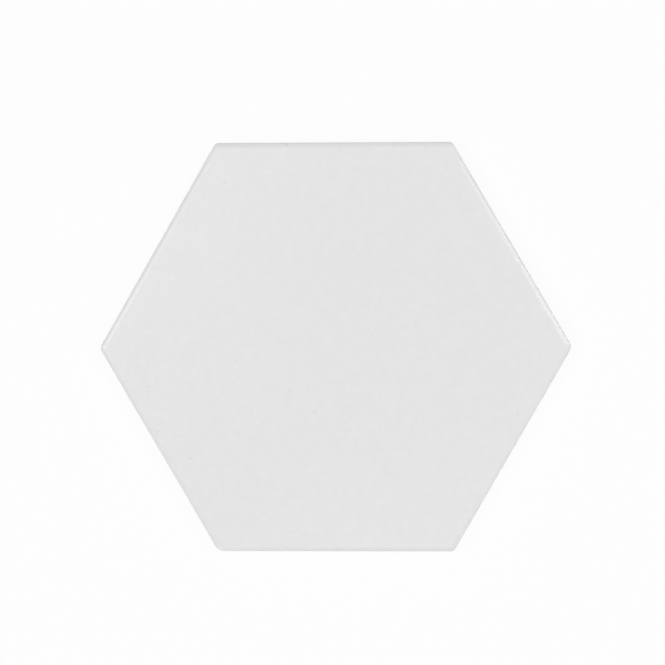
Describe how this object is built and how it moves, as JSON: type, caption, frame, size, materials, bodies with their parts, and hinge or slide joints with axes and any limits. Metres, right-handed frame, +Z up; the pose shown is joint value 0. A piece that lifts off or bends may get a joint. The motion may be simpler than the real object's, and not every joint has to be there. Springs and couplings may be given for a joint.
{
  "type": "hexagon floor tile",
  "caption": "Regular hexagonal floor tile with a flat glazed face, a soft edge that falls to a rounded arris, slightly leaning sides and a honeycomb relief in the back for adhesive.",
  "frame": {"origin": "middle of the back, in the plane of the raised land that the tile lies on", "axes": "+Z up, out of the glazed face; +X to a corner of the hexagon; +Y to the middle of a straight edge"},
  "size_m": [0.201, 0.175, 0.0085],
  "materials": {
    "white_glazed_porcelain": "satin white glaze with fine dark specks on the face and arris, bare fired body on the lower sides and the back"
  },
  "bodies": {
    "root": {"tile": "white_glazed_porcelain"}
  },
  "joints": []
}
